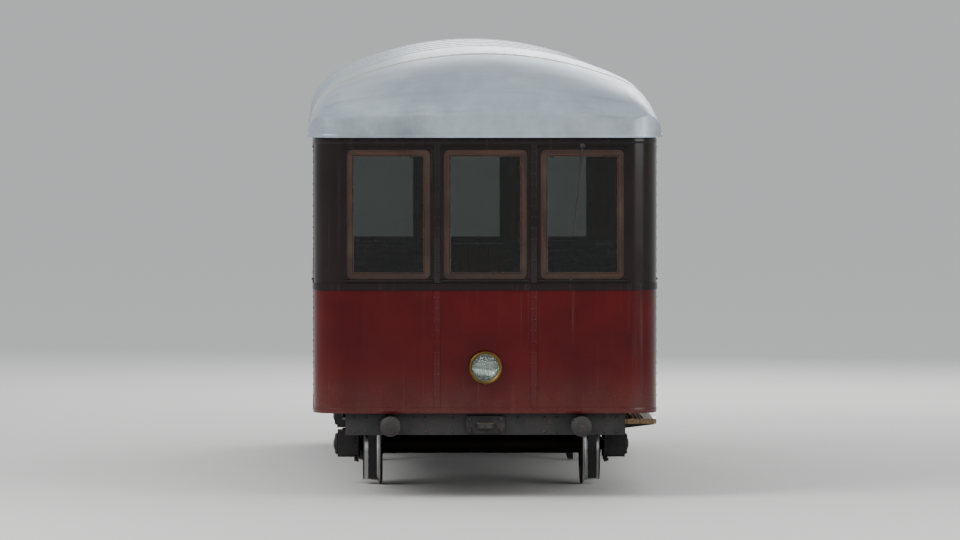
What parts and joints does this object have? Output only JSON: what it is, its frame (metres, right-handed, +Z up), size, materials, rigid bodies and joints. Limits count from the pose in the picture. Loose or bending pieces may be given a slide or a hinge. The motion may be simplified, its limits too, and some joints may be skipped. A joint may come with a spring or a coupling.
{
  "type": "funicular car",
  "caption": "Inclined railway passenger car with a hollow windowed cabin, domed roof, sliding side doors, sprung flanged wheelsets and rail brakes.",
  "frame": {"origin": "on the floor that the wheel flanges rest on, under the middle of the car", "axes": "+Y uphill along the car, +X to the right of a viewer who looks uphill, +Z up"},
  "size_m": [2.38, 7.44, 3.0226],
  "materials": {
    "body_paint": "gloss",
    "roof_paint": "satin",
    "frame_paint": "satin",
    "spring_steel": "satin",
    "wheel_steel": "satin",
    "cast_iron": "satin",
    "varnished_wood": "satin",
    "floor_boards": "matte",
    "window_glass": "gloss",
    "desk_paint": "satin",
    "rail_steel": "satin"
  },
  "bodies": {
    "carbody": {"axle_boxes": "frame_paint", "bench_frames": "cast_iron", "bench_seats": "varnished_wood", "brake_hangers": "frame_paint", "brake_shoes": "cast_iron", "buffers": "frame_paint", "ceiling_rails": "rail_steel", "control_desk": "desk_paint", "door_grab_rails": "rail_steel", "door_rails": "rail_steel", "end_wall_downhill": "body_paint", "end_wall_uphill": "body_paint", "equipment_case": "frame_paint", "floor": "floor_boards", "footboards": "floor_boards", "glass_downhill": "window_glass", "glass_left": "window_glass", "glass_right": "window_glass", "glass_uphill": "window_glass", "guard_irons": "frame_paint", "hand_brake": "cast_iron", "headlamp_glass": "window_glass", "headlamps": "frame_paint", "horn_guides": "frame_paint", "leaf_springs": "spring_steel", "rail_brake_frames": "frame_paint", "rail_brake_jaws": "cast_iron", "roof": "roof_paint", "rope_socket": "frame_paint", "sashes_downhill": "varnished_wood", "sashes_left": "varnished_wood", "sashes_right": "varnished_wood", "sashes_uphill": "varnished_wood", "side_wall_left": "body_paint", "side_wall_right": "body_paint", "spring_shoes": "frame_paint", "step_brackets": "frame_paint", "towing_eye": "frame_paint", "underframe": "frame_paint"},
    "door_downhill": {"door_downhill": "body_paint", "door_glass_downhill": "window_glass"},
    "door_uphill": {"door_uphill": "body_paint", "door_glass_uphill": "window_glass"},
    "wheelset_downhill": {"axle_downhill": "wheel_steel", "wheels_downhill": "wheel_steel"},
    "wheelset_uphill": {"axle_uphill": "wheel_steel", "wheels_uphill": "wheel_steel"}
  },
  "joints": [
    {"name": "wheelset_downhill_spin", "type": "hinge", "parent": "carbody", "child": "wheelset_downhill", "pos_m": [0, -1.8, 0.278], "axis": [1, 0, 0], "continuous": true},
    {"name": "wheelset_uphill_spin", "type": "hinge", "parent": "carbody", "child": "wheelset_uphill", "pos_m": [0, 1.8, 0.278], "axis": [1, 0, 0], "continuous": true},
    {"name": "door_downhill_slide", "type": "slide", "parent": "carbody", "child": "door_downhill", "axis": [0, 1, 0], "range_m": [0, 0.78]},
    {"name": "door_uphill_slide", "type": "slide", "parent": "carbody", "child": "door_uphill", "axis": [0, -1, 0], "range_m": [0, 0.78]}
  ]
}
